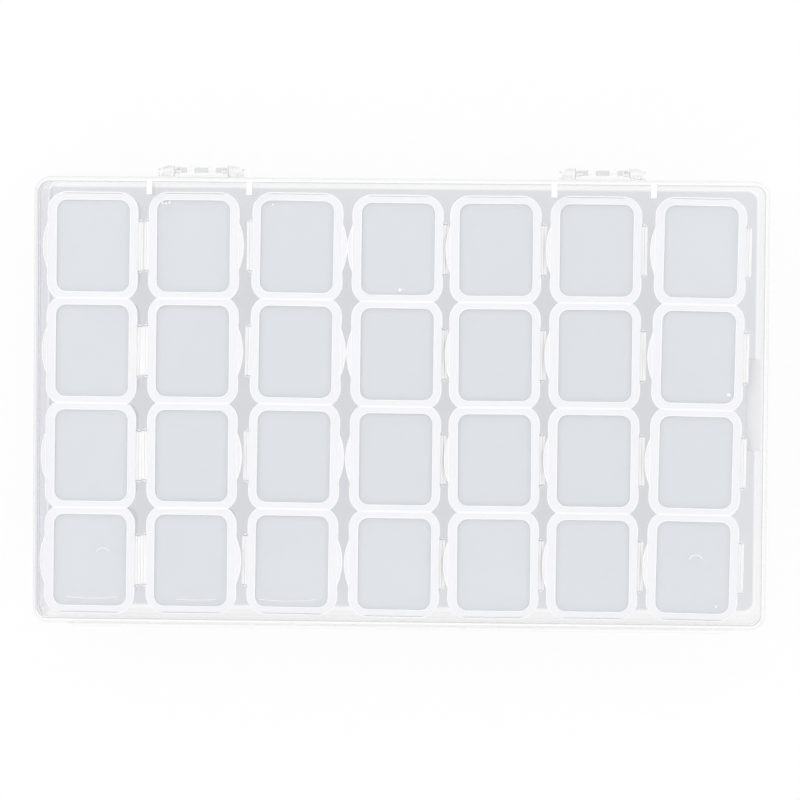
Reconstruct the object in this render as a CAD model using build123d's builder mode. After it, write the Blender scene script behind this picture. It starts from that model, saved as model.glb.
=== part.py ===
from build123d import *
import os

# Hinged flat case that holds seven strips of lidded cups. Millimetres, +Z up, the origin under the
# middle of the case, +Y towards the latches.

# cups and the flip lids that close them
cup_count = 4              # cups in one strip
cup_pitch = 25.1
window_width = 17.5        # sunk panel of a flip lid, across the strip
window_length = 21.9
window_radius = 2.4
ring_hinge_side = 2.0      # flat rim outside the panel
ring_thumb_side = 2.25
ring_end = 1.9
rim_radius = 4.65
joint_overlap = 0.72       # how far one cup's rim outline runs into the next one
rim_thickness = 1.0
strip_height = 21.2        # floor of the case to the rim's top
cup_wall = 0.85
cup_floor = 1.0
cup_draft = 1.0            # degrees
cup_foot_radius = 1.4      # inside the cup's bottom
lid_thickness = 0.9
lid_gap = 0.12             # between neighbouring lids
panel_sink = 0.35
panel_thickness = 0.75
plug_depth = 1.8           # wall under the lid that drops into the cup
plug_wall = 0.8
plug_clearance = 0.15
lid_edge_radius = 0.25
thumb_chord = 11.0
thumb_reach = 0.95
thumb_thickness = 0.5
tab_length = 12.9          # living hinge tab on the cup's side
tab_reach = 1.22
tab_end_bevel = 0.45
tab_drop = 1.0             # depth of the tab under the rim's top
film_radius = 0.3          # rolled edge that the lid turns on
film_offset = 0.35         # its axis outside the rim's edge
film_margin = 0.55         # tab beyond each end of the film
film_clearance = 0.05

# where the loose strips lie: +1 is hinges to the right, -1 is hinges to the left
hinge_sides = [1, -1, -1, 1, 1, 1, 1]
strip_slack = [0.17, 1.57, 0.47, 0.59, 0.79, 1.41]         # free room between neighbours
strip_yaw = [-0.32, -0.17, -0.52, -0.24, 0.05, -0.17, -0.84]   # degrees
strip_forward = [0.27, 0.36, 0.41, 0.06, 0.05, 0.10, 0.0]  # from the strip nearest the back wall
left_slack = 0.32
right_slack = 0.13
back_clearance = 0.46
front_clearance = 2.64

# case
case_wall = 1.3
case_floor = 1.2
case_radius = 4.0
base_height = 20.0
headroom = 2.5             # over the closed flip lids
top_thickness = 1.2
top_edge_radius = 0.7
base_edge_radius = 1.0
floor_fillet = 1.0
tongue_thickness = 0.5     # raised inner half of the base's edge
tongue_height = 1.0
tongue_clearance = 0.15
rib_width = 1.45
rib_reach = 3.1
rib_pair_centre = 48.3
rib_pair_spacing = 24.0
rib_end_radius = 0.4
rib_clearance = 0.2        # between the base's ribs and the lid's
stop_reach = 3.3           # end stop on the right wall
stop_length = 22.0
stop_drop = 0.4            # under the base's edge
stop_toe_reach = 1.0
stop_toe_length = 9.1
stop_toe_height = 3.0

# hinge along the back
hinge_length = 161.2
hinge_offset = 0.85        # axis outside the back wall
hinge_film_radius = 0.6
hinge_bevel = 1.9
hinge_flange = 1.1         # thickness of the lid's and the base's hinge edges
hinge_clearance = 0.05

# latches on the front
latch_spacing = 95.6
latch_width = 20.5
latch_reach = 2.8          # past the front wall
knuckle_length = 3.85
knuckle_radius = 1.35
knuckle_gap = 0.1          # beside the lug
pivot_below_top = 2.7
latch_drop = 12.4          # pivot to the latch's lower end
latch_plate = 1.1
latch_corner_radius = 2.6
trunnion_radius = 0.55
trunnion_length = 1.4
trunnion_clearance = 0.05
lug_radius = 1.05
lug_end_wall = 0.25        # outside the two side pockets
lug_rib = 1.8              # between two pockets
lug_middle_pocket = 3.3
lug_pocket_width = 1.2
lug_pocket_depth = 1.1
lug_front_wall = 0.25
catch_margin = 3.75        # latch beyond each end of the catch
catch_reach = 0.65
catch_height = 1.3
catch_above_hook = 0.1
hook_height = 1.3
hook_tip = 0.9             # thickness at its free edge
hook_clearance = 0.05
latch_lip = 0.8            # flat finger edge under the hook

# sizes that follow
strip_count = len(hinge_sides)
lid_width = window_width + ring_hinge_side + ring_thumb_side
window_shift = (ring_thumb_side - ring_hinge_side) / 2
strip_length = (cup_count - 1) * cup_pitch + window_length + 2 * ring_end
rim_top = case_floor + strip_height
lid_top = rim_top + lid_thickness
top_underside = lid_top + headroom
case_height = top_underside + top_thickness
film_length = tab_length - 2 * film_margin
opening_width = window_width + 2 * plug_clearance
opening_length = window_length + 2 * plug_clearance
opening_radius = window_radius + plug_clearance


def facing_room(i):
    """Room that the tabs of strips i and i + 1 need between the two rims."""
    right_reach = tab_reach if hinge_sides[i] > 0 else thumb_reach
    left_reach = tab_reach if hinge_sides[i + 1] < 0 else thumb_reach
    if hinge_sides[i] == hinge_sides[i + 1]:
        return max(right_reach, left_reach)    # the thumb tab lies over the hinge tab
    return right_reach + left_reach


strip_gaps = [facing_room(i) + strip_slack[i] for i in range(strip_count - 1)]
left_gap = left_slack + (thumb_reach if hinge_sides[0] > 0 else tab_reach)
right_gap = right_slack + stop_reach + (tab_reach if hinge_sides[-1] > 0 else thumb_reach)
inner_length = left_gap + strip_count * lid_width + sum(strip_gaps) + right_gap
inner_depth = back_clearance + strip_length + front_clearance
case_length = inner_length + 2 * case_wall
case_depth = inner_depth + 2 * case_wall
inner_radius = case_radius - case_wall
front_face = case_depth / 2
inner_front = inner_depth / 2
hinge_y = -front_face - hinge_offset
latch_pivot_y = front_face + latch_reach - knuckle_radius
latch_pivot_z = case_height - pivot_below_top
latch_foot_z = latch_pivot_z - latch_drop
hook_top_z = latch_foot_z + latch_lip + hook_height
catch_length = latch_width - 2 * catch_margin
lug_width = latch_width - 2 * (knuckle_length + knuckle_gap)
side_pocket = lug_width / 2 - lug_end_wall - lug_rib - lug_middle_pocket / 2
side_pocket_place = (lug_width - side_pocket) / 2 - lug_end_wall
lug_pockets = {-side_pocket_place: side_pocket, 0: lug_middle_pocket, side_pocket_place: side_pocket}
rib_places = [side * (rib_pair_centre + step * rib_pair_spacing / 2) for side in (-1, 1) for step in (-1, 1)]
latch_places = {"latch_left": -latch_spacing / 2, "latch_right": latch_spacing / 2}
row_letters = "abcdefgh"


def strip_plane(i):
    """Plane of strip i at floor level, its X axis towards the hinges."""
    x = -inner_length / 2 + left_gap + i * lid_width + sum(strip_gaps[:i]) + lid_width / 2
    y = -inner_depth / 2 + back_clearance + strip_length / 2 + strip_forward[i]
    towards_hinges = Vector(hinge_sides[i], 0, 0).rotate(Axis.Z, strip_yaw[i])
    return Plane(origin=(x, y, 0), x_dir=towards_hinges, z_dir=(0, 0, 1))


def cup_y(i, row):
    """Place of a cup along strip i, row 0 nearest the latches."""
    return hinge_sides[i] * ((cup_count - 1) / 2 - row) * cup_pitch


def rim_outline():
    """Scalloped outline of a whole strip."""
    with BuildSketch() as rim:
        with Locations(*[(0, cup_y(0, row)) for row in range(cup_count)]):
            RectangleRounded(lid_width, cup_pitch + 2 * joint_overlap, rim_radius)
        RectangleRounded(lid_width, strip_length, rim_radius, mode=Mode.INTERSECT)
    return rim.sketch


def tab_outline():
    """Plan of one hinge tab with bevelled ends, its root under the rim."""
    half = tab_length / 2
    with BuildSketch() as tab:
        with BuildLine():
            Polyline((-ring_hinge_side / 2, -half), (0, -half), (tab_reach, -half + tab_end_bevel),
                     (tab_reach, half - tab_end_bevel), (0, half), (-ring_hinge_side / 2, half), close=True)
        make_face()
    return tab.sketch


def thumb_outline():
    """Plan of one thumb tab: a shallow bulge, its root in the lid's rim."""
    half = thumb_chord / 2
    with BuildSketch() as thumb:
        with BuildLine():
            ThreePointArc((0, half), (-thumb_reach, 0), (0, -half))
            Polyline((0, -half), (ring_thumb_side / 2, -half), (ring_thumb_side / 2, half), (0, half))
        make_face()
    return thumb.sketch


def rib_outline():
    """Plan of one strip-locating rib, its root in the front wall."""
    half = rib_width / 2
    with BuildSketch() as rib:
        with BuildLine():
            Polyline((half, -rib_reach + rib_end_radius), (half, tongue_thickness),
                     (-half, tongue_thickness), (-half, -rib_reach + rib_end_radius))
            ThreePointArc((-half, -rib_reach + rib_end_radius), (0, -rib_reach),
                          (half, -rib_reach + rib_end_radius))
        make_face()
    return rib.sketch


def hinge_edge_outline():
    """Plan of a hinge edge: a long strip with bevelled ends, from the back wall to the axis."""
    half = hinge_length / 2
    with BuildSketch() as hinge_edge:
        with BuildLine():
            Polyline((-half, -front_face + case_wall / 2), (-half, -front_face),
                     (-half + hinge_bevel, hinge_y), (half - hinge_bevel, hinge_y),
                     (half, -front_face), (half, -front_face + case_wall / 2), close=True)
        make_face()
    return hinge_edge.sketch


def make_cup_strip(i):
    """Row of four cups under one rim, with a hinge tab beside each cup."""
    place = strip_plane(i)
    cups = [(window_shift, cup_y(i, row)) for row in range(cup_count)]
    tabs = [(lid_width / 2, cup_y(i, row)) for row in range(cup_count)]
    with BuildPart() as cup_strip:
        with BuildSketch(place.offset(rim_top)):
            with Locations(*cups):
                RectangleRounded(opening_width + 2 * cup_wall, opening_length + 2 * cup_wall,
                                 opening_radius + cup_wall)
        extrude(amount=-strip_height, taper=cup_draft)
        foot_edges = cup_strip.edges().group_by(Axis.Z)[0]
        fillet(foot_edges, cup_foot_radius + cup_floor / 2)
        with BuildSketch(place.offset(rim_top - rim_thickness)):
            add(rim_outline())
        extrude(amount=rim_thickness)
        with BuildSketch(place.offset(rim_top - tab_drop)):
            with Locations(*tabs):
                add(tab_outline())
        extrude(amount=tab_drop - film_clearance)
        with BuildSketch(place.offset(rim_top)):
            with Locations(*cups):
                RectangleRounded(opening_width, opening_length, opening_radius)
        extrude(amount=-(strip_height - cup_floor), taper=cup_draft, mode=Mode.SUBTRACT)
        cavity_edges = cup_strip.edges().filter_by_position(Axis.Z, case_floor + cup_floor - 0.01,
                                                            case_floor + cup_floor + 0.01)
        fillet(cavity_edges, cup_foot_radius)
        with Locations(*[place.location * Location((lid_width / 2 + film_offset, y, rim_top), (90, 0, 0))
                         for _, y in tabs]):
            Cylinder(film_radius + film_clearance, film_length + 2 * film_clearance, mode=Mode.SUBTRACT)
    return cup_strip.part


def make_flip_lid(i, row):
    """Snap lid of one cup: rim, sunk panel, plug, thumb tab and the film that it turns on."""
    place = strip_plane(i)
    y = cup_y(i, row)
    with BuildPart() as flip_lid:
        with BuildSketch(place.offset(rim_top)):
            add(rim_outline())
            with Locations((0, y)):
                Rectangle(lid_width, cup_pitch - lid_gap, mode=Mode.INTERSECT)
        extrude(amount=lid_thickness)
        fillet(flip_lid.edges().group_by(Axis.Z)[-1], lid_edge_radius)
        with BuildSketch(place.offset(lid_top)):
            with Locations((window_shift, y)):
                RectangleRounded(window_width, window_length, window_radius)
        extrude(amount=-panel_sink, mode=Mode.SUBTRACT)
        with BuildSketch(place.offset(rim_top)):
            with Locations((window_shift, y)):
                RectangleRounded(window_width, window_length, window_radius)
        extrude(amount=-plug_depth)
        with BuildSketch(place.offset(lid_top - panel_sink - panel_thickness)):
            with Locations((window_shift, y)):
                RectangleRounded(window_width - 2 * plug_wall, window_length - 2 * plug_wall,
                                 window_radius - plug_wall)
        extrude(amount=-(plug_depth + lid_thickness), mode=Mode.SUBTRACT)
        with BuildSketch(place.offset(lid_top - thumb_thickness)):
            with Locations((-lid_width / 2, y)):
                add(thumb_outline())
        extrude(amount=thumb_thickness)
        with BuildSketch(place.offset(rim_top)):
            with Locations((lid_width / 2 - lid_edge_radius, y)):
                Rectangle(film_offset + lid_edge_radius, film_length, align=(Align.MIN, Align.CENTER))
        extrude(amount=film_radius)
        with Locations(place.location * Location((lid_width / 2 + film_offset, y, rim_top), (90, 0, 0))):
            Cylinder(film_radius, film_length)
    return flip_lid.part


def make_case_base():
    """Open tray with a raised inner edge, locating ribs, an end stop and two catches."""
    with BuildPart() as case_base:
        with BuildSketch():
            RectangleRounded(case_length, case_depth, case_radius)
        extrude(amount=base_height)
        fillet(case_base.faces().sort_by(Axis.Z)[0].edges(), base_edge_radius)
        with BuildSketch(Plane.XY.offset(base_height)):
            RectangleRounded(inner_length + 2 * tongue_thickness, inner_depth + 2 * tongue_thickness,
                             inner_radius + tongue_thickness)
        extrude(amount=tongue_height)
        with BuildSketch(Plane.XY.offset(case_floor)):
            RectangleRounded(inner_length, inner_depth, inner_radius)
        extrude(amount=base_height + tongue_height, mode=Mode.SUBTRACT)
        fillet(case_base.faces().filter_by(Plane.XY).sort_by(Axis.Z)[1].edges(), floor_fillet)
        with BuildSketch(Plane.XY.offset(case_floor / 2)):
            with Locations(*[(x, inner_front) for x in rib_places]):
                add(rib_outline())
        extrude(amount=base_height + tongue_height - case_floor / 2)
        with BuildSketch(Plane.XY.offset(case_floor / 2)):
            with Locations((inner_length / 2 + case_wall / 2, 0)):
                Rectangle(stop_reach + case_wall / 2, stop_length, align=(Align.MAX, Align.CENTER))
        extrude(amount=base_height - stop_drop - case_floor / 2)
        with BuildSketch(Plane.XY.offset(case_floor / 2)):
            with Locations((inner_length / 2, 0)):
                Rectangle(stop_reach + stop_toe_reach, stop_toe_length, align=(Align.MAX, Align.CENTER))
        extrude(amount=case_floor / 2 + stop_toe_height)
        catch_foot_z = hook_top_z + catch_above_hook
        with BuildSketch(Plane.YZ.offset(-catch_length / 2)):
            with BuildLine():
                Polyline((front_face - case_wall / 2, catch_foot_z), (front_face + catch_reach, catch_foot_z),
                         (front_face + catch_reach, catch_foot_z + catch_height / 3),
                         (front_face, catch_foot_z + catch_height),
                         (front_face - case_wall / 2, catch_foot_z + catch_height), close=True)
            make_face()
        catch = extrude(amount=catch_length, mode=Mode.PRIVATE)
        for x in latch_places.values():
            add(catch.moved(Location((x, 0, 0))))
        ledge_top_z = base_height - hinge_film_radius - hinge_clearance
        with BuildSketch(Plane.XY.offset(ledge_top_z)):
            add(hinge_edge_outline())
        extrude(amount=-hinge_flange)
    return case_base.part


def make_case_lid():
    """Shallow cover with its hinge film, ribs over the base's ribs, and two lugs for the latches."""
    with BuildPart() as case_lid:
        with BuildSketch(Plane.XY.offset(base_height)):
            RectangleRounded(case_length, case_depth, case_radius)
        extrude(amount=case_height - base_height)
        fillet(case_lid.faces().sort_by(Axis.Z)[-1].edges(), top_edge_radius)
        with BuildSketch(Plane.XY.offset(base_height)):
            RectangleRounded(inner_length, inner_depth, inner_radius)
        extrude(amount=top_underside - base_height, mode=Mode.SUBTRACT)
        with BuildSketch(Plane.XY.offset(base_height)):
            rebate = tongue_thickness + tongue_clearance
            RectangleRounded(inner_length + 2 * rebate, inner_depth + 2 * rebate, inner_radius + rebate)
        extrude(amount=tongue_height + tongue_clearance, mode=Mode.SUBTRACT)
        rib_foot_z = base_height + tongue_height + rib_clearance
        with BuildSketch(Plane.XY.offset(rib_foot_z)):
            with Locations(*[(x, inner_front) for x in rib_places]):
                add(rib_outline())
        extrude(amount=top_underside + top_thickness / 2 - rib_foot_z)
        with BuildSketch(Plane.XY.offset(base_height)):
            add(hinge_edge_outline())
        extrude(amount=hinge_flange)
        with Locations(Location((0, hinge_y, base_height), (0, 90, 0))):
            Cylinder(hinge_film_radius, hinge_length - 2 * hinge_bevel)
        for x in latch_places.values():
            with BuildSketch(Plane.YZ.offset(x - lug_width / 2)):
                with Locations((latch_pivot_y, latch_pivot_z)):
                    Circle(lug_radius)
                    Rectangle(latch_pivot_y - front_face + case_wall / 2, 2 * lug_radius,
                              align=(Align.MAX, Align.CENTER))
            extrude(amount=lug_width)
            with Locations(*[Location((x + side * (lug_width - trunnion_length - trunnion_clearance) / 2,
                                       latch_pivot_y, latch_pivot_z), (0, 90, 0)) for side in (-1, 1)]):
                Cylinder(trunnion_radius + trunnion_clearance, trunnion_length + trunnion_clearance,
                         mode=Mode.SUBTRACT)
            with BuildSketch(Plane.XY.offset(latch_pivot_z + lug_radius)):
                for pocket_x, length in lug_pockets.items():
                    with Locations((x + pocket_x, latch_pivot_y + lug_radius - lug_front_wall)):
                        Rectangle(length, lug_pocket_width, align=(Align.CENTER, Align.MAX))
            extrude(amount=-lug_pocket_depth, mode=Mode.SUBTRACT)
    return case_lid.part


def make_latch(x):
    """Clear snap latch: two knuckles with trunnions, a plate, and a hook that closes under the catch."""
    plate_front = latch_pivot_y + knuckle_radius
    plate_back = plate_front - latch_plate
    hook_y = front_face + catch_reach + hook_clearance
    middle = latch_width - 2 * knuckle_length
    with BuildPart() as latch:
        with BuildSketch(Plane.YZ.offset(x - latch_width / 2)):
            with Locations((latch_pivot_y, latch_pivot_z)):
                Circle(knuckle_radius)
            with BuildLine():
                Polyline((plate_back, latch_pivot_z), (plate_front, latch_pivot_z),
                         (plate_front, latch_foot_z), (plate_back, latch_foot_z),
                         (plate_back, latch_foot_z + latch_lip), (hook_y, hook_top_z - hook_tip),
                         (hook_y, hook_top_z), (plate_back, hook_top_z), close=True)
            make_face()
        extrude(amount=latch_width)
        with BuildSketch(Plane.XY.offset(latch_foot_z)):
            with BuildLine():
                Polyline((x - latch_width / 2, front_face), (x - latch_width / 2, plate_front),
                         (x + latch_width / 2, plate_front), (x + latch_width / 2, front_face), close=True)
            make_face()
            fillet(vertices().group_by(Axis.Y)[-1], latch_corner_radius)
        extrude(amount=latch_drop + 2 * knuckle_radius, mode=Mode.INTERSECT)
        with BuildSketch(Plane.YZ.offset(x - middle / 2)):
            with Locations((latch_pivot_y, latch_pivot_z)):
                Rectangle(2 * latch_reach, 2 * (knuckle_radius + knuckle_gap))
        extrude(amount=middle, mode=Mode.SUBTRACT)
        with Locations(*[Location((x + side * (middle - trunnion_length + knuckle_length) / 2,
                                   latch_pivot_y, latch_pivot_z), (0, 90, 0)) for side in (-1, 1)]):
            Cylinder(trunnion_radius, trunnion_length + knuckle_length)
    return latch.part


def save(part, name):
    """Label one finished piece and write it to its own file."""
    part.label = name
    export_step(part, f"parts/{name}.step")


os.makedirs("parts", exist_ok=True)
save(make_case_base(), "case_base")
save(make_case_lid(), "case_lid")
for name, x in latch_places.items():
    save(make_latch(x), name)
for i in range(strip_count):
    save(make_cup_strip(i), f"cup_strip_{i + 1}")
    for row in range(cup_count):
        save(make_flip_lid(i, row), f"flip_lid_{i + 1}{row_letters[row]}")
print(f"case {case_length:.2f} x {case_depth:.2f} x {case_height:.2f} mm")
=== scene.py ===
import math

import bpy
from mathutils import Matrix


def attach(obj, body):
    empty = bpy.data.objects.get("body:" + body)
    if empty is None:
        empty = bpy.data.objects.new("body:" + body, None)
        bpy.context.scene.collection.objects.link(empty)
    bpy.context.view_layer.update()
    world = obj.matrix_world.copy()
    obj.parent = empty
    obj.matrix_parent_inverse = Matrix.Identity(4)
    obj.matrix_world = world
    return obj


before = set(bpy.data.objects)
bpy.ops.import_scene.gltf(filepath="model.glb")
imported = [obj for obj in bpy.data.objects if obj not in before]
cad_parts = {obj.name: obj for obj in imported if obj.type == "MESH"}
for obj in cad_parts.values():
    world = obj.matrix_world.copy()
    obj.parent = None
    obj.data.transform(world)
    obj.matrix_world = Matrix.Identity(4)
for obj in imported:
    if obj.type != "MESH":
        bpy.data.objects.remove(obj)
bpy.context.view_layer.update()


def linearColour(hexValue):
    def toLinear(part):
        return part / 12.92 if part <= 0.04045 else ((part + 0.055) / 1.055) ** 2.4
    parts = [int(hexValue[i:i + 2], 16) / 255 for i in (1, 3, 5)]
    return (*[toLinear(part) for part in parts], 1.0)


# sockets among the inputs are linked, and anything else becomes the input's value
def addNode(tree, kind, inputs=None, **settings):
    node = tree.nodes.new(kind)
    for name, value in settings.items():
        setattr(node, name, value)
    for name, value in (inputs or {}).items():
        if isinstance(value, bpy.types.NodeSocket):
            tree.links.new(value, node.inputs[name])
        else:
            node.inputs[name].default_value = value
    return node


def newMaterial(name):
    material = bpy.data.materials.new(name)
    material.use_nodes = True
    material.node_tree.nodes.clear()
    return material, material.node_tree


# scale of a pattern whose features are this many millimetres apart
def millimetres(size):
    return 1000 / size


# Natural polypropylene, injection moulded: milky where it is thin and denser where a wall is seen along
# its length, as any cloudy plastic is. The cups' walls also mirror what is beside them when they are seen
# that way. Zones are where the plastic is thicker, thinner or frosted, and some zones are painted shade:
# the grey lines round the cover's edges, the greyer left wall of the cover and of the tray, the grey latch
# pockets and the grey tint in the tray's floor, which stands in for the shadow in the gaps and on the
# table under the case. Zones are boxes in millimetres of the part's own plan, rounded at the corners,
# painted over one another in this order. A zone's tint colours the light that goes through it.
polypropyleneIor = 1.49
polypropylene = {
    "cup": {"colour": "#FEFEFF", "opacity": 0.30, "edgeOpacity": 0.45, "edgePower": 2.0, "roughness": 0.30,
            "cloud": 0.02, "cloudSize": 9, "through": 0.5,
            "mirror": 0.92, "mirrorRoughness": 0.12,
            "zones": {"rim": {"z": (21.3, 22.5), "opacity": 0.95, "colour": "#FAFAFE"},
                      "foot": {"z": (1.1, 2.6), "opacity": 0.75, "colour": "#FAFBFE"}}},
    "lid": {"colour": "#FFFFFF", "opacity": 0.97, "edgeOpacity": 1.0, "edgePower": 2.0, "roughness": 0.26,
            "cloud": 0.015, "cloudSize": 9, "through": 0.0,
            "zones": {"ring": {"z": (23.28, 23.4), "opacity": 0.96, "colour": "#F8F8FC"},
                      "panelTop": {"z": (22.9, 23.0), "opacity": 0.72, "colour": "#F0F3F8"},
                      "panelUnder": {"z": (22.15, 22.25), "opacity": 0.72, "colour": "#F0F3F8"},
                      "plug": {"z": (20.5, 22.15), "opacity": 0.40, "colour": "#FFFFFF"}}},
    "cover": {"colour": "#FEFEFF", "opacity": 0.012, "edgeOpacity": 0.35, "edgePower": 3.0,
              "roughness": 0.10, "cloud": 0.004, "cloudSize": 14, "through": 0.0,
              # painted shade: a dark grey line round the cover just below the top of its wall, where the
              # clear edge bends the light, heavier on the left, where less light falls
              "zones": {"outline": {"z": (26.45, 26.62), "opacity": 0.20, "colour": "#8E8E86"},
                        "outlineLeftShade": {"x": (-90, -30), "z": (26.45, 26.62), "opacity": 0.45,
                                        "colour": "#85857E"},
                        "wallTop": {"z": (26.99, 27.01), "opacity": 0.72},
                        # painted shade: the top of the cover's left wall is greyer, where less light falls
                        "wallTopLeftShade": {"x": (-88, -86.5), "z": (26.99, 27.01), "opacity": 0.62,
                                        "colour": "#DFDFE5"},
                        # painted shade: a dark grey line where the cover's top turns down into the inner
                        # face of its wall
                        "innerLine": {"x": (-86.47, 86.47), "y": (-52.32, 52.32), "z": (26.99, 27.01),
                                      "radius": 2.7, "opacity": 0.32, "colour": "#96969E"},
                        "top": {"x": (-86.23, 86.23), "y": (-52.08, 52.08), "z": (26.99, 27.01),
                                "radius": 2.5, "opacity": 0.012},
                        "rib1": {"x": (-60.65, -59.35), "y": (49.2, 53.4), "z": (26.99, 27.01)},
                        "rib2": {"x": (-36.85, -35.45), "y": (49.2, 53.4), "z": (26.99, 27.01)},
                        "rib3": {"x": (35.65, 37.05), "y": (49.2, 53.4), "z": (26.99, 27.01)},
                        "rib4": {"x": (59.25, 60.65), "y": (49.2, 53.4), "z": (26.99, 27.01)},
                        # painted shade: the floors of the latch pockets are grey
                        "latchPocketShade": {"z": (24.2, 24.3), "opacity": 0.60, "colour": "#D2D4DA"}}},
    "base": {"colour": "#FEFEFF", "opacity": 0.04, "edgeOpacity": 0.16, "edgePower": 2.0,
             "roughness": 0.15, "cloud": 0.008, "cloudSize": 14, "through": 0.3,
             # painted shade: the tray's left wall is tinted grey, where less light falls
             "zones": {"leftWallShade": {"x": (-90, -86), "z": (0.5, 21), "tint": "#F6F6F9"},
                       # the frosted underside of the tray's floor, milky in itself; its grey tint is painted
                       # shade, standing in for the shadow in the gaps and on the table under the case
                       "frostingAndShade": {"x": (-90, 85.6), "y": (-51.1, 51.0), "z": (-1, 0.1), "radius": 2.5,
                                    "soft": 0.5, "opacity": 0.10, "tint": "#E9EAEF"},
                       "endStop": {"x": (82, 86.1), "y": (-30, 30), "z": (15, 19.9), "opacity": 0.95}}},
}


# what a zone has when it doesn't say: all of the part, and a crisp edge
plainZone = {"x": (-200, 200), "y": (-200, 200), "z": (-200, 200), "radius": 0.05, "soft": 0.04}


# 1 inside a rounded box of the part's own plan and 0 outside it
def insideZone(tree, where, zone):
    zone = {**plainZone, **zone}
    low, high = zip(*[zone[axis] for axis in "xyz"])
    radius, soft = zone["radius"], zone["soft"]
    away = where
    for operation, other in (
            ("SUBTRACT", [(b + a) / 2000 for a, b in zip(low, high)]), ("ABSOLUTE", (0, 0, 0)),
            ("SUBTRACT", [((b - a) / 2 - r) / 1000 for a, b, r in zip(low, high, (radius, radius, 0))]),
            ("MAXIMUM", (0, 0, 0)), ("MULTIPLY", (1, 1, 1000)), ("LENGTH", (0, 0, 0))):
        away = addNode(tree, "ShaderNodeVectorMath", {0: away, 1: other}, operation=operation)
        away = away.outputs["Value" if operation == "LENGTH" else "Vector"]
    return addNode(tree, "ShaderNodeMapRange", {
        "Value": away, "From Min": (radius - soft / 2) / 1000, "From Max": (radius + soft / 2) / 1000,
        "To Min": 1.0, "To Max": 0.0}).outputs["Result"]


# the noise stays between about 0.3 and 0.7, which becomes the whole range of the cloudiness
def makePolypropylene(name, values):
    material, tree = newMaterial(name)
    where = addNode(tree, "ShaderNodeTexCoord").outputs["Object"]
    cloud = addNode(tree, "ShaderNodeTexNoise", {
        "Vector": where, "Scale": millimetres(values["cloudSize"]), "Detail": 1.0})
    opacity = addNode(tree, "ShaderNodeMapRange", {
        "Value": cloud.outputs["Fac"], "From Min": 0.3, "From Max": 0.7,
        "To Min": values["opacity"] - values["cloud"],
        "To Max": values["opacity"] + values["cloud"]}).outputs["Result"]
    colour, tint = linearColour(values["colour"]), linearColour("#FFFFFF")
    for zone in values["zones"].values():
        inside = insideZone(tree, where, zone)
        if "opacity" in zone or "tint" not in zone:
            opacity = addNode(tree, "ShaderNodeMix", {
                "Factor": inside, 2: opacity, 3: zone.get("opacity", 1.0)}).outputs[0]
            colour = addNode(tree, "ShaderNodeMix", {
                "Factor": inside, 6: colour, 7: linearColour(zone.get("colour", values["colour"]))},
                data_type="RGBA").outputs[2]
        if "tint" in zone:
            tint = addNode(tree, "ShaderNodeMix", {
                "Factor": inside, 6: tint, 7: linearColour(zone["tint"])}, data_type="RGBA").outputs[2]
    facing = addNode(tree, "ShaderNodeLayerWeight", {"Blend": 0.5}).outputs["Facing"]
    steep = addNode(tree, "ShaderNodeMath", {0: facing, 1: values["edgePower"]}, operation="POWER")
    opacity = addNode(tree, "ShaderNodeMapRange", {
        "Value": steep.outputs[0], "To Min": opacity, "To Max": values["edgeOpacity"]}).outputs["Result"]
    clear = addNode(tree, "ShaderNodeBsdfTransparent", {"Color": tint})
    milk = addNode(tree, "ShaderNodeBsdfPrincipled", {
        "Base Color": colour, "Roughness": values["roughness"], "IOR": polypropyleneIor})
    lit = addNode(tree, "ShaderNodeBsdfTranslucent", {"Color": colour})
    milk = addNode(tree, "ShaderNodeMixShader", {
        "Fac": values["through"], 1: milk.outputs[0], 2: lit.outputs[0]})
    shader = addNode(tree, "ShaderNodeMixShader", {
        "Fac": opacity, 1: clear.outputs[0], 2: milk.outputs[0]})
    if "mirror" in values:
        grazing = addNode(tree, "ShaderNodeMapRange", {
            "Value": steep.outputs[0], "To Max": values["mirror"]})
        gloss = addNode(tree, "ShaderNodeBsdfAnisotropic", {
            "Color": colour, "Roughness": values["mirrorRoughness"]})
        shader = addNode(tree, "ShaderNodeMixShader", {
            "Fac": grazing.outputs["Result"], 1: shader.outputs[0], 2: gloss.outputs[0]})
    addNode(tree, "ShaderNodeOutputMaterial", {"Surface": shader.outputs[0]})
    return material


# General purpose polystyrene, polished: glassy, paler where it turns away from the eye, with a fine grey
# line of painted shade beside each knuckle, where a thin gap parts it from the lug
polystyrene = {"colour": "#FFFFFF", "roughness": 0.03, "ior": 1.59, "glass": 0.34, "edgeOpacity": 0.55,
               "edgePower": 3.0, "knuckleShadeHalfWidth": 0.06, "knuckles": (-54.25, -41.35, 41.35, 54.25),
               "knuckleShadeTint": "#E6E6EA"}


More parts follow.
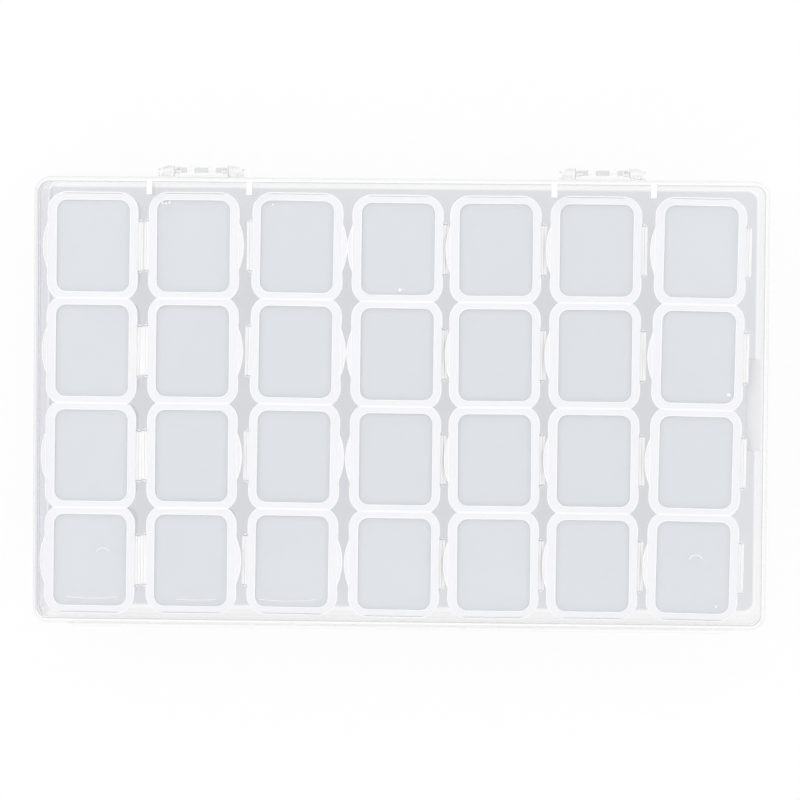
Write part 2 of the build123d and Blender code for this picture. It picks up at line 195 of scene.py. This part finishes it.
def makePolystyrene(name, values):
    material, tree = newMaterial(name)
    where = addNode(tree, "ShaderNodeTexCoord").outputs["Object"]
    tint = linearColour(values["colour"])
    # painted shade: the grey line beside each knuckle stands in for the shade in the thin gap to the lug
    for knuckle in values["knuckles"]:
        line = {"x": (knuckle - values["knuckleShadeHalfWidth"], knuckle + values["knuckleShadeHalfWidth"])}
        tint = addNode(tree, "ShaderNodeMix", {
            "Factor": insideZone(tree, where, line), 6: tint, 7: linearColour(values["knuckleShadeTint"])},
            data_type="RGBA").outputs[2]
    glass = addNode(tree, "ShaderNodeBsdfPrincipled", {
        "Base Color": tint, "Roughness": values["roughness"], "IOR": values["ior"],
        "Transmission Weight": 1.0})
    clear = addNode(tree, "ShaderNodeBsdfTransparent", {"Color": tint})
    body = addNode(tree, "ShaderNodeMixShader", {
        "Fac": values["glass"], 1: clear.outputs[0], 2: glass.outputs[0]})
    facing = addNode(tree, "ShaderNodeLayerWeight", {"Blend": 0.5}).outputs["Facing"]
    steep = addNode(tree, "ShaderNodeMath", {0: facing, 1: values["edgePower"]}, operation="POWER")
    pale = addNode(tree, "ShaderNodeMapRange", {"Value": steep.outputs[0], "To Max": values["edgeOpacity"]})
    edge = addNode(tree, "ShaderNodeBsdfPrincipled", {
        "Base Color": tint, "Roughness": values["roughness"], "IOR": values["ior"]})
    shader = addNode(tree, "ShaderNodeMixShader", {
        "Fac": pale.outputs["Result"], 1: body.outputs[0], 2: edge.outputs[0]})
    addNode(tree, "ShaderNodeOutputMaterial", {"Surface": shader.outputs[0]})
    return material


# A bead or sharp edge of the same polypropylene scatters light much more than the wall, so it is white
beadPlastic = {"colour": "#FFFFFF", "roughness": 0.25, "grainSize": 0.8, "grain": 0.06}


def makeBeadPlastic(name, values):
    material, tree = newMaterial(name)
    place = addNode(tree, "ShaderNodeTexCoord").outputs["Object"]
    grain = addNode(tree, "ShaderNodeTexNoise", {"Vector": place, "Scale": millimetres(values["grainSize"])})
    roughness = addNode(tree, "ShaderNodeMapRange", {
        "Value": grain.outputs["Fac"], "To Min": values["roughness"] - values["grain"],
        "To Max": values["roughness"] + values["grain"]})
    shader = addNode(tree, "ShaderNodeBsdfPrincipled", {
        "Base Color": linearColour(values["colour"]), "Roughness": roughness.outputs["Result"],
        "IOR": polypropyleneIor})
    addNode(tree, "ShaderNodeOutputMaterial", {"Surface": shader.outputs["BSDF"]})
    return material


materials = {
    "case_base": makePolypropylene("naturalPolypropyleneTray", polypropylene["base"]),
    "case_lid": makePolypropylene("naturalPolypropyleneCover", polypropylene["cover"]),
    "cup_strip_": makePolypropylene("naturalPolypropyleneCups", polypropylene["cup"]),
    "flip_lid_": makePolypropylene("naturalPolypropyleneLids", polypropylene["lid"]),
    "latch_": makePolystyrene("clearPolystyrene", polystyrene),
}
beadMaterial = makeBeadPlastic("whitePolypropyleneBeads", beadPlastic)
for name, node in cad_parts.items():
    material = next(value for start, value in materials.items() if name.startswith(start))
    node.data.materials.clear()
    node.data.materials.append(material)
print("materials done")


# an empty Geometry Nodes tree with named inputs, its input sockets and its output node
def newGeometry(name, inputs):
    tree = bpy.data.node_groups.new(name, "GeometryNodeTree")
    for label, kind in inputs.items():
        tree.interface.new_socket(name=label, in_out="INPUT", socket_type="NodeSocket" + kind)
    tree.interface.new_socket(name="Geometry", in_out="OUTPUT", socket_type="NodeSocketGeometry")
    return tree, addNode(tree, "NodeGroupInput").outputs, addNode(tree, "NodeGroupOutput")


# sweeps the profile along every curve and joins the beads
def sweepCurves(tree, curves, profile):
    joined = addNode(tree, "GeometryNodeJoinGeometry")
    for curve in curves:
        swept = addNode(tree, "GeometryNodeCurveToMesh", {
            "Curve": curve, "Profile Curve": profile, "Fill Caps": True})
        tree.links.new(swept.outputs["Mesh"], joined.inputs["Geometry"])
    return joined.outputs["Geometry"]


beadSides = 8


def roundProfile(tree, inputs):
    return addNode(tree, "GeometryNodeCurvePrimitiveCircle", {
        "Resolution": beadSides, "Radius": inputs["Bead"]}).outputs["Curve"]


# turns and places the geometry, makes it of the bead plastic and ends the tree
def finishTree(tree, geometry, inputs, end):
    turn = addNode(tree, "ShaderNodeCombineXYZ", {"Z": inputs["Turn"]})
    placed = addNode(tree, "GeometryNodeTransform", {
        "Geometry": geometry, "Translation": inputs["Place"], "Rotation": turn.outputs[0]})
    real = addNode(tree, "GeometryNodeRealizeInstances", {"Geometry": placed.outputs["Geometry"]})
    coated = addNode(tree, "GeometryNodeSetMaterial", {
        "Geometry": real.outputs["Geometry"], "Material": beadMaterial})
    tree.links.new(coated.outputs["Geometry"], end.inputs["Geometry"])


# edges that turn more than this stay crisp in the shading
sharpDegrees = 50


# runs a tree once and returns a plain mesh object with nothing left to evaluate
def grow(name, tree, values):
    piece = bpy.data.objects.new(name, bpy.data.meshes.new(name))
    bpy.context.scene.collection.objects.link(piece)
    modifier = piece.modifiers.new("grow", "NODES")
    modifier.node_group = tree
    for socket in tree.interface.items_tree:
        if socket.in_out == "INPUT":
            modifier[socket.identifier] = values[socket.name]
    graph = bpy.context.evaluated_depsgraph_get()
    finished = bpy.data.meshes.new_from_object(piece.evaluated_get(graph))
    piece.modifiers.clear()
    piece.data = finished
    finished.shade_smooth()
    finished.set_sharp_from_angle(angle=math.radians(sharpDegrees))
    return piece


# where the seven loose strips lie: middle in millimetres, side of the hinges and turn in degrees
strips = [(-74.05, -0.82, 1, -0.32), (-49.69, -0.73, -1, -0.17), (-25.15, -0.68, -1, -0.52),
          (-1.03, -1.03, 1, -0.24), (22.53, -1.04, 1, 0.05), (46.29, -0.99, 1, -0.17),
          (70.67, -1.09, 1, -0.84)]
rows = {"a": 1.5, "b": 0.5, "c": -0.5, "d": -1.5}
cupPitch = 25.1


# turn in radians of a strip, whose hinges are towards +X when its side is 1
def stripTurn(side, degrees):
    return math.radians(degrees) + (0 if side > 0 else math.pi)


# place in metres and turn in radians of a cup's middle, at a height in millimetres
def cupPlace(strip, row, height):
    x, y, side, degrees = strips[strip]
    turn = stripTurn(side, degrees)
    along = side * rows[row] * cupPitch
    return ((x - math.sin(turn) * along) / 1000, (y + math.cos(turn) * along) / 1000, height / 1000), turn


# Fine raised beads on every flip lid: round its sunk panel, along its edge at the thumb tab, round the tab
# and, a little lower, along its outline. Millimetres, in the lid's own plan with its hinge towards +X. At
# each end of the outline, Rise is where the corners' centres are, Sweep the degrees of their arcs, Reach
# where the end line runs and Half half its length. An inner end faces the next lid of the strip.
lidBeads = {"panelWidth": 17.72, "panelLength": 22.12, "panelRadius": 2.5, "panelShift": 0.125,
            "edge": -10.74, "thumbHalf": 6.3, "tabHalf": 5.5, "tabTip": -11.85, "bead": 0.18,
            "height": 23.27, "outlineDrop": 0.10, "cornerX": 6.2, "cornerRadius": 4.58, "hingeHalf": 6.6,
            "panelSteps": 7, "tabSteps": 16, "cornerSteps": 12,
            "innerEnd": {"Rise": 8.62, "Sweep": 56.5, "Reach": 12.42, "Half": 8.7},
            "outerEnd": {"Rise": 8.20, "Sweep": 90, "Reach": 12.78, "Half": 6.3}}


def panelAndTabCurves(tree, inputs, values):
    panel = addNode(tree, "GeometryNodeCurvePrimitiveQuadrilateral", {
        "Width": inputs["Panel Width"], "Height": inputs["Panel Length"]})
    rounded = addNode(tree, "GeometryNodeFilletCurve", {
        "Curve": panel.outputs["Curve"], "Radius": inputs["Panel Radius"],
        "Count": values["panelSteps"]}, mode="POLY")
    shifted = addNode(tree, "GeometryNodeTransform", {
        "Geometry": rounded.outputs["Curve"], "Translation": (values["panelShift"] / 1000, 0, 0)})
    edge = values["edge"] / 1000
    across = addNode(tree, "GeometryNodeCurvePrimitiveLine", {
        "Start": (edge, -values["thumbHalf"] / 1000, 0), "End": (edge, values["thumbHalf"] / 1000, 0)})
    around = addNode(tree, "GeometryNodeCurveArc", {
        "Resolution": values["tabSteps"], "Start": (edge, -values["tabHalf"] / 1000, 0),
        "Middle": (values["tabTip"] / 1000, 0, 0), "End": (edge, values["tabHalf"] / 1000, 0)},
        mode="POINTS")
    return [shifted.outputs["Geometry"], across.outputs["Curve"], around.outputs["Curve"]]


# the corners, the sides beyond the hinge and the end line, at one end of a lid
def outlineCurves(tree, inputs, values, end, sign):
    def signed(part, factor):
        return addNode(tree, "ShaderNodeMath", {0: inputs[f"{end} {part}"], 1: factor},
                       operation="MULTIPLY").outputs[0]

    drop = -values["outlineDrop"] / 1000
    rise, reach = signed("Rise", sign), signed("Reach", sign)
    curves, lineEnds = [], []
    for side in (1, -1):
        arc = addNode(tree, "GeometryNodeCurveArc", {
            "Resolution": values["cornerSteps"], "Radius": values["cornerRadius"] / 1000,
            "Start Angle": 0.0 if side > 0 else math.pi, "Sweep Angle": signed("Sweep", sign * side)},
            mode="RADIUS")
        centre = addNode(tree, "ShaderNodeCombineXYZ", {
            "X": side * values["cornerX"] / 1000, "Y": rise, "Z": drop})
        corner = addNode(tree, "GeometryNodeTransform", {
            "Geometry": arc.outputs["Curve"], "Translation": centre.outputs[0]})
        edge = side * (values["cornerX"] + values["cornerRadius"]) / 1000
        top = addNode(tree, "ShaderNodeCombineXYZ", {"X": edge, "Y": rise, "Z": drop})
        straight = addNode(tree, "GeometryNodeCurvePrimitiveLine", {
            "Start": (edge, sign * values["hingeHalf"] / 1000, drop), "End": top.outputs[0]})
        curves += [corner.outputs["Geometry"], straight.outputs["Curve"]]
        lineEnds.append(addNode(tree, "ShaderNodeCombineXYZ", {
            "X": signed("Half", side), "Y": reach, "Z": drop}).outputs[0])
    curves.append(addNode(tree, "GeometryNodeCurvePrimitiveLine", {
        "Start": lineEnds[0], "End": lineEnds[1]}).outputs["Curve"])
    return curves


def makeLidBeads(values):
    ends = {"Front": 1, "Back": -1}
    tree, inputs, finish = newGeometry("lidBeads", {
        "Place": "Vector", "Turn": "Float", "Bead": "Float", "Panel Width": "Float",
        "Panel Length": "Float", "Panel Radius": "Float",
        **{f"{end} {part}": "Float" for end in ends for part in values["innerEnd"]}})
    curves = panelAndTabCurves(tree, inputs, values)
    for end, sign in ends.items():
        curves += outlineCurves(tree, inputs, values, end, sign)
    finishTree(tree, sweepCurves(tree, curves, roundProfile(tree, inputs)), inputs, finish)
    for strip in range(len(strips)):
        front, back = ("a", "d") if strips[strip][2] > 0 else ("d", "a")
        outerRows = {"Front": front, "Back": back}
        for row in rows:
            place, turn = cupPlace(strip, row, values["height"])
            endInputs = {}
            for end in ends:
                for part, size in values["outerEnd" if row == outerRows[end] else "innerEnd"].items():
                    endInputs[f"{end} {part}"] = math.radians(size) if part == "Sweep" else size / 1000
            beads = grow(f"lid_beads_{strip + 1}{row}", tree, {
                "Place": place, "Turn": turn, "Bead": values["bead"] / 1000,
                "Panel Width": values["panelWidth"] / 1000, "Panel Length": values["panelLength"] / 1000,
                "Panel Radius": values["panelRadius"] / 1000, **endInputs})
            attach(beads, f"flip_lid_{strip + 1}{row}")


makeLidBeads(lidBeads)
print("lid beads done")


# On every strip: beads along the outer edge and bevelled ends of each hinge tab, and beside its film
stripBeads = {"root": 10.95, "tip": 12.02, "half": 6.35, "bevel": 0.45, "bead": 0.30, "height": 22.28,
              "innerLine": 11.70, "innerHalf": 6.0}


def makeStripBeads(values):
    tree, inputs, end = newGeometry("stripBeads", {
        "Place": "Vector", "Turn": "Float", "Bead": "Float", "Count": "Int", "Pitch": "Float"})
    root, tip, half = values["root"] / 1000, values["tip"] / 1000, values["half"] / 1000
    corners = [(root, -half, 0), (tip, -half + values["bevel"] / 1000, 0),
               (tip, half - values["bevel"] / 1000, 0), (root, half, 0)]
    inner, innerHalf = values["innerLine"] / 1000, values["innerHalf"] / 1000
    runs = [*zip(corners, corners[1:]), ((inner, -innerHalf, 0), (inner, innerHalf, 0))]
    curves = [addNode(tree, "GeometryNodeCurvePrimitiveLine", {"Start": start, "End": stop}).outputs["Curve"]
              for start, stop in runs]
    profile = addNode(tree, "GeometryNodeCurvePrimitiveQuadrilateral", {
        "Width": inputs["Bead"], "Height": inputs["Bead"]}).outputs["Curve"]
    tab = sweepCurves(tree, curves, profile)
    last = addNode(tree, "ShaderNodeMath", {0: inputs["Count"], 1: 1.0}, operation="SUBTRACT")
    back = addNode(tree, "ShaderNodeMath", {0: last.outputs[0], 1: -0.5}, operation="MULTIPLY")
    pitch = addNode(tree, "ShaderNodeCombineXYZ", {"Y": inputs["Pitch"]})
    start = addNode(tree, "ShaderNodeVectorMath", {0: pitch.outputs[0], "Scale": back.outputs[0]},
                    operation="SCALE")
    points = addNode(tree, "GeometryNodeMeshLine", {
        "Count": inputs["Count"], "Start Location": start.outputs[0], "Offset": pitch.outputs[0]})
    everyTab = addNode(tree, "GeometryNodeInstanceOnPoints", {
        "Points": points.outputs["Mesh"], "Instance": tab})
    finishTree(tree, everyTab.outputs["Instances"], inputs, end)
    for strip, (x, y, side, degrees) in enumerate(strips):
        beads = grow(f"strip_beads_{strip + 1}", tree, {
            "Place": (x / 1000, y / 1000, values["height"] / 1000),
            "Turn": stripTurn(side, degrees), "Bead": values["bead"] / 1000, "Count": len(rows),
            "Pitch": cupPitch / 1000})
        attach(beads, "case_base")


makeStripBeads(stripBeads)
print("strip beads done")

# Marks that the mould leaves on some lids, and painted highlights, in millimetres of the closed case. A burr
# has its place and size. A line has its middle, its radius, the degrees it sweeps, the way it bulges in
# degrees and its bead. The two short round ones are crescents left by the sprue. The three long shallow
# arcs near the edge of lids 1d, 2d and 3d are painted highlights: white lines that stand in for glints of
# light in the panels.
marks = {
    "burrs": {"2a": [(-57.19, 47.15, 0.75), (-56.35, 47.03, 0.55), (-55.51, 47.28, 0.65)],
              "3a": [(-30.74, 47.0, 0.6)], "4a": [(-0.24, 26.86, 0.95)], "7b": [(78.37, 2.54, 0.95)],
              "7d": [(75.9, -48.1, 0.65)]},
    "burrHeight": 23.0, "burrWidth": 0.5, "burrFlat": 0.35, "ballSteps": 3,
    "bumpSize": 5 / 13, "bump": 0.9, "seed": 5.0,
    "linesAndGlints": {"1d": [(-71.1, -35.6, 1.75, 130, 90, 0.13), (-73.6, -47.75, 45, 16, 270, 0.09)],
              "2d": [(-48.6, -47.9, 60, 9, 270, 0.07)],
              "3d": [(-26.6, -47.9, 60, 13, 270, 0.08)], "7d": [(70.9, -35.8, 1.75, 130, 90, 0.13)]},
    "lineHeight": 22.96, "lineSteps": 20,
}


def makeBurrs(values):
    tree, inputs, end = newGeometry("burrs", {
        "Place": "Vector", "Turn": "Float", "Size": "Float", "Seed": "Float"})
    ball = addNode(tree, "GeometryNodeMeshIcoSphere", {
        "Radius": inputs["Size"], "Subdivisions": values["ballSteps"]})
    noise = addNode(tree, "ShaderNodeTexNoise", {
        "Scale": millimetres(values["bumpSize"]), "Detail": 1.0, "W": inputs["Seed"]},
        noise_dimensions="4D")
    # the noise is about a half on average, so this pushes both in and out
    push = addNode(tree, "ShaderNodeVectorMath", {0: noise.outputs["Color"], 1: (0.5, 0.5, 0.5)},
                   operation="SUBTRACT")
    push = addNode(tree, "ShaderNodeVectorMath", {0: push.outputs[0], "Scale": values["bump"] / 1000},
                   operation="SCALE")
    bumpy = addNode(tree, "GeometryNodeSetPosition", {
        "Geometry": ball.outputs["Mesh"], "Offset": push.outputs[0]})
    flat = addNode(tree, "GeometryNodeTransform", {
        "Geometry": bumpy.outputs["Geometry"],
        "Scale": (values["burrWidth"], values["burrWidth"], values["burrFlat"])})
    finishTree(tree, flat.outputs["Geometry"], inputs, end)
    for lid, places in values["burrs"].items():
        for number, (x, y, size) in enumerate(places, 1):
            burr = grow(f"burr_{lid}_{number}", tree, {
                "Place": (x / 1000, y / 1000, values["burrHeight"] / 1000), "Turn": 0.0,
                "Size": size / 1000, "Seed": values["seed"] + number})
            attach(burr, f"flip_lid_{lid}")


# white lines on arcs: the sprue crescents, and the painted highlights of lids 1d, 2d and 3d
def makeMouldLinesAndGlints(values):
    tree, inputs, end = newGeometry("mouldLineAndGlint", {
        "Place": "Vector", "Turn": "Float", "Bead": "Float", "Radius": "Float", "Sweep": "Float"})
    first = addNode(tree, "ShaderNodeMath", {0: inputs["Sweep"], 1: -0.5}, operation="MULTIPLY")
    arc = addNode(tree, "GeometryNodeCurveArc", {
        "Resolution": values["lineSteps"], "Radius": inputs["Radius"], "Start Angle": first.outputs[0],
        "Sweep Angle": inputs["Sweep"]}, mode="RADIUS")
    back = addNode(tree, "ShaderNodeMath", {0: inputs["Radius"], 1: -1.0}, operation="MULTIPLY")
    centre = addNode(tree, "ShaderNodeCombineXYZ", {"X": back.outputs[0]})
    moved = addNode(tree, "GeometryNodeTransform", {
        "Geometry": arc.outputs["Curve"], "Translation": centre.outputs[0]})
    swept = sweepCurves(tree, [moved.outputs["Geometry"]], roundProfile(tree, inputs))
    finishTree(tree, swept, inputs, end)
    for lid, runs in values["linesAndGlints"].items():
        for number, (x, y, radius, sweep, bulge, bead) in enumerate(runs, 1):
            line = grow(f"mould_line_and_glint_{lid}_{number}", tree, {
                "Place": (x / 1000, y / 1000, values["lineHeight"] / 1000), "Turn": math.radians(bulge),
                "Bead": bead / 1000, "Radius": radius / 1000, "Sweep": math.radians(sweep)})
            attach(line, f"flip_lid_{lid}")


makeBurrs(marks)
makeMouldLinesAndGlints(marks)
print("moulding marks done")

# sizes and places in metres, and brightness where 1 is white
stage = {"size": 3.0, "floorColour": "#FAFAFB", "seenWhite": 0.93, "skyColour": "#FFFFFF", "horizon": 0.625,
         "horizonTop": 0.10, "skyBottom": 0.45, "lampWatts": 1.28, "lampSize": 0.7,
         "lampPlace": (-0.45, 0.55, 0.9), "floorDrop": 0.00005}


# a white table that the camera, and anything glossy or see-through, sees as nearly pure white, and that
# still takes the object's shadow
def makeFloor(values):
    half = values["size"] / 2
    mesh = bpy.data.meshes.new("floor")
    mesh.from_pydata([(-half, -half, 0), (half, -half, 0), (half, half, 0), (-half, half, 0)], [],
                     [(0, 1, 2, 3)])
    floor = bpy.data.objects.new("floor", mesh)
    floor.location.z = -values["floorDrop"]
    bpy.context.scene.collection.objects.link(floor)
    material, tree = newMaterial("whiteTable")
    cloth = addNode(tree, "ShaderNodeBsdfDiffuse", {"Color": linearColour(values["floorColour"])})
    path = addNode(tree, "ShaderNodeLightPath")
    seen = path.outputs["Is Camera Ray"]
    for ray in ("Is Transmission Ray", "Is Glossy Ray"):
        seen = addNode(tree, "ShaderNodeMath", {0: seen, 1: path.outputs[ray]},
                       operation="MAXIMUM").outputs[0]
    share = addNode(tree, "ShaderNodeMath", {0: seen, 1: values["seenWhite"]}, operation="MULTIPLY")
    glow = addNode(tree, "ShaderNodeEmission", {"Color": (1, 1, 1, 1), "Strength": 1.0})
    both = addNode(tree, "ShaderNodeMixShader", {
        "Fac": share.outputs[0], 1: cloth.outputs[0], 2: glow.outputs[0]})
    addNode(tree, "ShaderNodeOutputMaterial", {"Surface": both.outputs[0]})
    mesh.materials.append(material)


# a light tent: white overhead and a little darker towards the horizon, with one soft lamp
def makeLight(values):
    world = bpy.data.worlds.new("studio")
    bpy.context.scene.world = world
    world.use_nodes = True
    world.node_tree.nodes.clear()
    place = addNode(world.node_tree, "ShaderNodeTexCoord").outputs["Generated"]
    height = addNode(world.node_tree, "ShaderNodeSeparateXYZ", {"Vector": place}).outputs["Z"]
    strength = addNode(world.node_tree, "ShaderNodeMapRange", {
        "Value": height, "From Min": values["horizonTop"], "From Max": values["skyBottom"],
        "To Min": values["horizon"], "To Max": 1.0}, interpolation_type="SMOOTHSTEP").outputs["Result"]
    glow = addNode(world.node_tree, "ShaderNodeBackground", {
        "Color": linearColour(values["skyColour"]), "Strength": strength})
    addNode(world.node_tree, "ShaderNodeOutputWorld", {"Surface": glow.outputs["Background"]})
    lamp = bpy.data.lights.new("softbox", "AREA")
    lamp.energy, lamp.size = values["lampWatts"], values["lampSize"]
    lampObject = bpy.data.objects.new("softbox", lamp)
    lampObject.location = values["lampPlace"]
    towards = -lampObject.location
    lampObject.rotation_euler = towards.to_track_quat("-Z", "Y").to_euler()
    bpy.context.scene.collection.objects.link(lampObject)


# The camera hangs about a metre above the case, a little to the right of its middle and towards the
# latches. Places are in metres.
cameraValues = {"place": (0.0387, 0.0455, 1.050), "turnDegrees": (-2.485, 2.180, 0.460),
                "focalPixels": 4306, "imagePixels": 800, "sensorMillimetres": 36, "clip": (0.05, 10)}


def makeCamera(values):
    camera = bpy.data.cameras.new("camera")
    camera.sensor_width = values["sensorMillimetres"]
    camera.lens = values["focalPixels"] * values["sensorMillimetres"] / values["imagePixels"]
    camera.clip_start, camera.clip_end = values["clip"]
    cameraObject = bpy.data.objects.new("camera", camera)
    cameraObject.location = values["place"]
    cameraObject.rotation_euler = [math.radians(turn) for turn in values["turnDegrees"]]
    bpy.context.scene.collection.objects.link(cameraObject)
    bpy.context.scene.camera = cameraObject


makeFloor(stage)
makeLight(stage)
makeCamera(cameraValues)
bpy.context.scene.view_settings.view_transform = "Standard"
print("stage, light and camera done")
